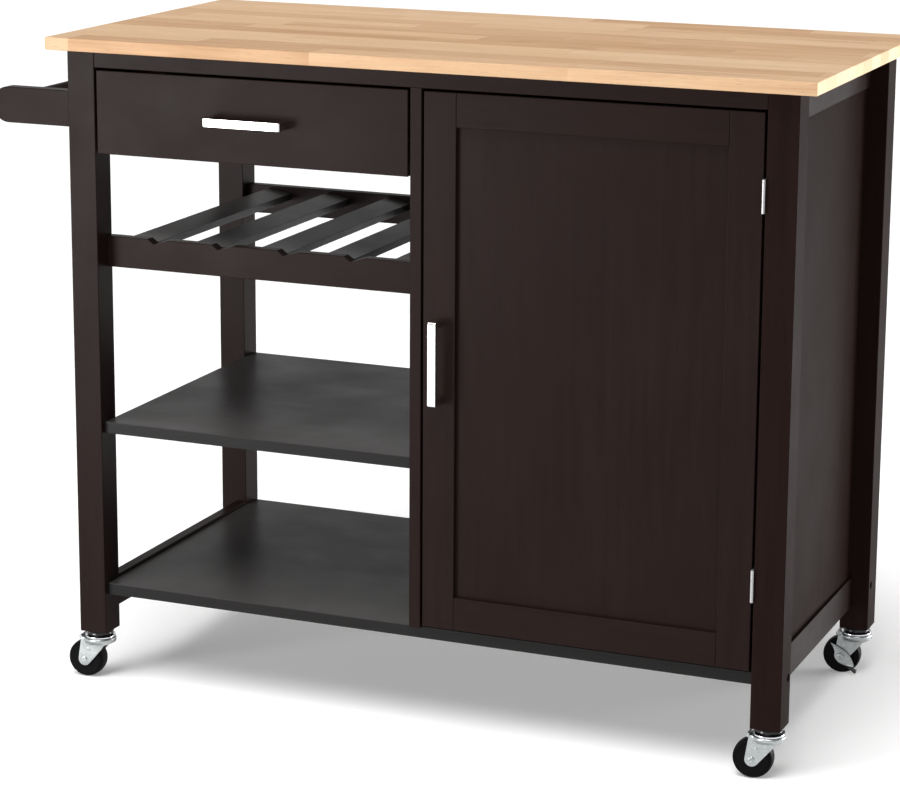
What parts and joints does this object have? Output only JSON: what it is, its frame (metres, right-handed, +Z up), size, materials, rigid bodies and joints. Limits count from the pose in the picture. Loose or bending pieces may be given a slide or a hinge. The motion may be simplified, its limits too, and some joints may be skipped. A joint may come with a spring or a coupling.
{
  "type": "kitchen island cart",
  "caption": "Rolling kitchen island with a wooden worktop, a drawer, a wine rack, open shelves, a framed cupboard door, a towel rail and swivel casters.",
  "frame": {"origin": "middle of the bounding box on the floor, towel rail and pulls included", "axes": "+Z up, front with the drawer and door towards -Y, towel rail on the -X end, cupboard on the +X side"},
  "size_m": [1.09, 0.499, 0.85],
  "materials": {
    "butcher_block": "oiled rubberwood strips, satin",
    "espresso_paint": "espresso lacquer over pine and board, satin",
    "espresso_board": "thin fibreboard, espresso foil",
    "drawer_wood": "espresso stained ply, matt",
    "polished_nickel": "polished nickel plate",
    "plated_steel": "nickel plated steel",
    "runner_steel": "white epoxy coated steel",
    "black_plastic": "moulded black plastic",
    "zinc_plate": "bright zinc plated steel",
    "wheel_rubber": "black moulded rubber tread"
  },
  "bodies": {
    "frame": {"worktop": "butcher_block", "leg_front_left": "espresso_paint", "leg_front_right": "espresso_paint", "leg_back_left": "espresso_paint", "leg_back_right": "espresso_paint", "frame_bolts": "plated_steel", "top_front_rail": "espresso_paint", "top_back_rail": "espresso_paint", "top_left_rail": "espresso_paint", "top_right_rail": "espresso_paint", "bottom_left_rail": "espresso_paint", "bottom_right_rail": "espresso_paint", "end_panel": "espresso_paint", "divider_panel": "espresso_paint", "cabinet_back_panel": "espresso_board", "bottom_board": "espresso_paint", "middle_shelf": "espresso_paint", "cabinet_shelf": "espresso_paint", "shelf_pins": "plated_steel", "wine_rack_front_rail": "espresso_paint", "wine_rack_back_rail": "espresso_paint", "wine_slat_1": "espresso_paint", "wine_slat_2": "espresso_paint", "wine_slat_3": "espresso_paint", "wine_slat_4": "espresso_paint", "wine_slat_5": "espresso_paint", "drawer_runners": "runner_steel", "hinge_frame_leaves": "plated_steel", "door_catch": "black_plastic", "towel_arm_front": "espresso_paint", "towel_arm_back": "espresso_paint", "towel_rod": "espresso_paint", "caster_mounts": "zinc_plate"},
    "drawer": {"drawer_front": "espresso_paint", "drawer_handle": "polished_nickel", "drawer_handle_screws": "plated_steel", "drawer_side_left": "drawer_wood", "drawer_side_right": "drawer_wood", "drawer_back": "drawer_wood", "drawer_bottom": "drawer_wood", "drawer_sliders": "runner_steel"},
    "door": {"door_stile_left": "espresso_paint", "door_stile_right": "espresso_paint", "door_rail_top": "espresso_paint", "door_rail_bottom": "espresso_paint", "door_panel": "espresso_paint", "door_handle": "polished_nickel", "door_handle_screws": "plated_steel", "hinge_door_leaves": "plated_steel", "door_catch_plate": "plated_steel"},
    "fork_front_left": {"caster_fork_front_left": "zinc_plate"},
    "wheel_front_left": {"caster_wheel_front_left": "wheel_rubber"},
    "fork_front_right": {"caster_fork_front_right": "zinc_plate"},
    "wheel_front_right": {"caster_wheel_front_right": "wheel_rubber"},
    "fork_back_left": {"caster_fork_back_left": "zinc_plate"},
    "wheel_back_left": {"caster_wheel_back_left": "wheel_rubber"},
    "fork_back_right": {"caster_fork_back_right": "zinc_plate"},
    "wheel_back_right": {"caster_wheel_back_right": "wheel_rubber"},
    "brake_back_left": {"brake_pedal_back_left": "zinc_plate"},
    "brake_back_right": {"brake_pedal_back_right": "zinc_plate"}
  },
  "joints": [
    {"name": "drawer_slide", "type": "slide", "parent": "frame", "child": "drawer", "axis": [0, -1, 0], "range_m": [0, 0.3]},
    {"name": "door_hinge", "type": "hinge", "parent": "frame", "child": "door", "pos_m": [0.4822, -0.2278, 0.479], "axis": [0, 0, 1], "range_deg": [0, 110]},
    {"name": "swivel_front_left", "type": "hinge", "parent": "frame", "child": "fork_front_left", "pos_m": [-0.4127, -0.2065, 0.054], "axis": [0, 0, 1], "continuous": true},
    {"name": "spin_front_left", "type": "hinge", "parent": "fork_front_left", "child": "wheel_front_left", "pos_m": [-0.43066, -0.20776, 0.025], "axis": [0.0698, -0.9976, 0], "continuous": true},
    {"name": "swivel_front_right", "type": "hinge", "parent": "frame", "child": "fork_front_right", "pos_m": [0.5027, -0.2065, 0.054], "axis": [0, 0, 1], "continuous": true},
    {"name": "spin_front_right", "type": "hinge", "parent": "fork_front_right", "child": "wheel_front_right", "pos_m": [0.48474, -0.20776, 0.025], "axis": [0.0698, -0.9976, 0], "continuous": true},
    {"name": "swivel_back_left", "type": "hinge", "parent": "frame", "child": "fork_back_left", "pos_m": [-0.4127, 0.2055, 0.054], "axis": [0, 0, 1], "continuous": true},
    {"name": "spin_back_left", "type": "hinge", "parent": "fork_back_left", "child": "wheel_back_left", "pos_m": [-0.43066, 0.20424, 0.025], "axis": [0.0698, -0.9976, 0], "continuous": true},
    {"name": "swivel_back_right", "type": "hinge", "parent": "frame", "child": "fork_back_right", "pos_m": [0.5027, 0.2055, 0.054], "axis": [0, 0, 1], "continuous": true},
    {"name": "spin_back_right", "type": "hinge", "parent": "fork_back_right", "child": "wheel_back_right", "pos_m": [0.48474, 0.20424, 0.025], "axis": [0.0698, -0.9976, 0], "continuous": true},
    {"name": "brake_back_left", "type": "hinge", "parent": "fork_back_left", "child": "brake_back_left", "pos_m": [-0.42967, 0.19008, 0.025], "axis": [-0.0698, 0.9976, 0], "range_deg": [0, 10]},
    {"name": "brake_back_right", "type": "hinge", "parent": "fork_back_right", "child": "brake_back_right", "pos_m": [0.48573, 0.19008, 0.025], "axis": [-0.0698, 0.9976, 0], "range_deg": [0, 10]}
  ]
}
